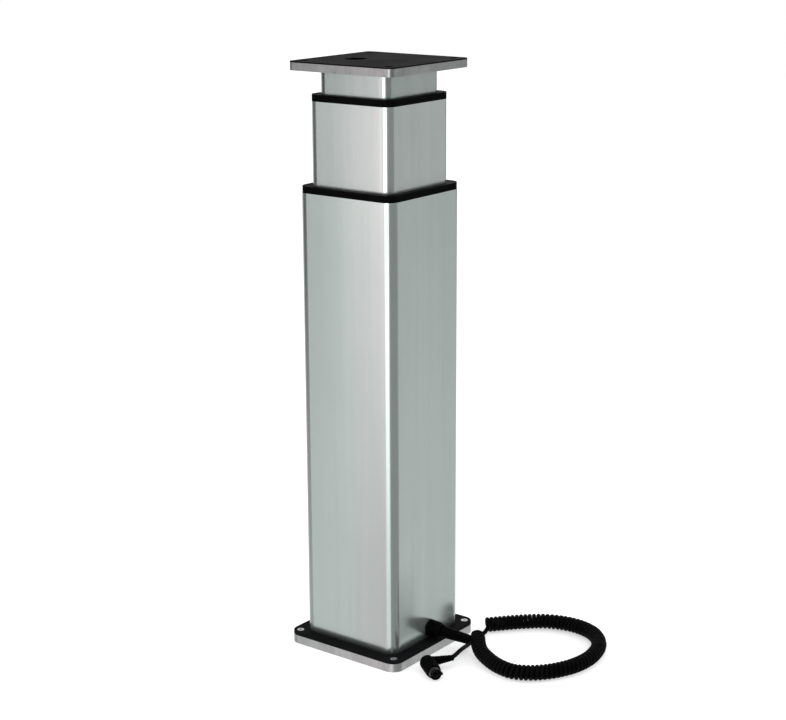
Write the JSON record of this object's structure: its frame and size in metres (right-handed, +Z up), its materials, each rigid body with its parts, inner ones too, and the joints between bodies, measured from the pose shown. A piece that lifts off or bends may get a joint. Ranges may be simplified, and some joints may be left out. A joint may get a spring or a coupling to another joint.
{
  "type": "electric lifting column",
  "caption": "Square telescopic electric lifting column: nested aluminium tubes on a base plate, raised by a motor and spindles inside, with a top plate and a curly cable.",
  "frame": {"origin": "centre of the base plate's underside, on the floor", "axes": "+Z up along the travel, the cable leaves the +X face, -Y is the front"},
  "size_m": [0.3246, 0.2276, 0.672],
  "materials": {
    "alu_plate": "mill, satin",
    "alu_tube": "natural anodised, satin",
    "black_cover": "black, satin",
    "black_plastic": "black, moulded",
    "white_plastic": "natural acetal",
    "steel": "zinc plated",
    "spindle_steel": "rolled thread",
    "dark_steel": "blackened",
    "magnet": "ferrite",
    "copper": "enamelled winding",
    "bronze": "sintered bronze",
    "carbon": "carbon brush",
    "board": "solder mask",
    "gear_plastic": "natural nylon",
    "rubber_black": "cable sheath",
    "pin_metal": "gold plated"
  },
  "bodies": {
    "base": {"base_plate": "alu_plate", "base_cover": "black_cover", "corner_screws": "steel", "base_screws": "steel", "outer_tube": "alu_tube", "outer_ring": "black_plastic", "drive_posts": "steel", "drive_flange": "alu_plate", "drive_screws": "steel", "motor_can": "dark_steel", "motor_end_bell": "white_plastic", "motor_magnets": "magnet", "motor_brushes": "carbon", "sensor_board": "board", "gear_housing": "steel", "gear_cover": "alu_plate", "cover_bush": "bronze", "thrust_washer_lower": "steel", "gland_body": "black_plastic", "gland_locknut": "black_plastic", "gland_cap": "black_plastic", "inner_lead": "rubber_black", "lead_sleeve": "rubber_black", "loose_turn": "rubber_black", "curly_coil": "rubber_black", "tail_cord": "rubber_black", "plug_body": "black_plastic", "plug_shield": "dark_steel", "plug_pins": "pin_metal"},
    "rotor": {"motor_shaft": "steel", "armature": "copper", "commutator": "copper", "sun_gear": "steel"},
    "planet_1": {"planet_gear_1": "gear_plastic"},
    "planet_2": {"planet_gear_2": "gear_plastic"},
    "planet_3": {"planet_gear_3": "gear_plastic"},
    "lower_spindle": {"planet_carrier": "steel", "planet_pins": "steel", "spindle_lower": "spindle_steel", "drive_bush": "bronze", "thrust_washer_upper": "steel"},
    "thrust_cage": {"thrust_balls": "steel"},
    "middle_stage": {"mid_tube": "alu_tube", "mid_ring": "black_plastic", "mid_glides": "white_plastic", "mid_plate": "alu_plate", "mid_screws": "steel", "nut_lower": "white_plastic", "bearing_housing": "alu_plate", "upper_bush": "bronze"},
    "upper_spindle": {"spindle_upper": "spindle_steel", "spindle_plug": "steel", "drive_rod": "steel"},
    "inner_stage": {"inner_tube": "alu_tube", "inner_glides": "white_plastic", "inner_plate": "alu_plate", "inner_screws": "steel", "nut_upper": "white_plastic", "top_plate": "alu_plate", "top_cover": "black_cover"}
  },
  "joints": [
    {"name": "mid_lift", "type": "slide", "parent": "base", "child": "middle_stage", "axis": [0, 0, 1], "range_m": [0, 0.25]},
    {"name": "inner_lift", "type": "slide", "parent": "middle_stage", "child": "inner_stage", "axis": [0, 0, 1], "range_m": [0, 0.25]},
    {"name": "spindle_spin", "type": "hinge", "parent": "base", "child": "lower_spindle", "pos_m": [0, 0, 0.14], "axis": [0, 0, 1], "range_deg": [-22505, 5]},
    {"name": "upper_spindle_spin", "type": "hinge", "parent": "middle_stage", "child": "upper_spindle", "pos_m": [0, 0, 0.19], "axis": [0, 0, 1], "range_deg": [-22505, 5]},
    {"name": "motor_spin", "type": "hinge", "parent": "base", "child": "rotor", "pos_m": [0, 0, 0.05], "axis": [0, 0, 1], "range_deg": [-112525, 25]},
    {"name": "cage_spin", "type": "hinge", "parent": "base", "child": "thrust_cage", "pos_m": [0, 0, 0.125], "axis": [0, 0, 1], "range_deg": [-11255, 5]},
    {"name": "planet_1_spin", "type": "hinge", "parent": "lower_spindle", "child": "planet_1", "pos_m": [0.015, 0, 0.0965], "axis": [0, 0, 1], "range_deg": [-15, 60015]},
    {"name": "planet_2_spin", "type": "hinge", "parent": "lower_spindle", "child": "planet_2", "pos_m": [-0.0075, 0.01299, 0.0965], "axis": [0, 0, 1], "range_deg": [-15, 60015]},
    {"name": "planet_3_spin", "type": "hinge", "parent": "lower_spindle", "child": "planet_3", "pos_m": [-0.0075, -0.01299, 0.0965], "axis": [0, 0, 1], "range_deg": [-15, 60015]}
  ],
  "couplings": [
    {"joint": "inner_lift", "follows": "mid_lift", "ratio": 1},
    {"joint": "spindle_spin", "follows": "mid_lift", "rad_per_m": -1570.8},
    {"joint": "upper_spindle_spin", "follows": "mid_lift", "rad_per_m": -1570.8},
    {"joint": "motor_spin", "follows": "mid_lift", "rad_per_m": -7854},
    {"joint": "cage_spin", "follows": "mid_lift", "rad_per_m": -785.4},
    {"joint": "planet_1_spin", "follows": "mid_lift", "rad_per_m": 4188.8},
    {"joint": "planet_2_spin", "follows": "mid_lift", "rad_per_m": 4188.8},
    {"joint": "planet_3_spin", "follows": "mid_lift", "rad_per_m": 4188.8}
  ]
}
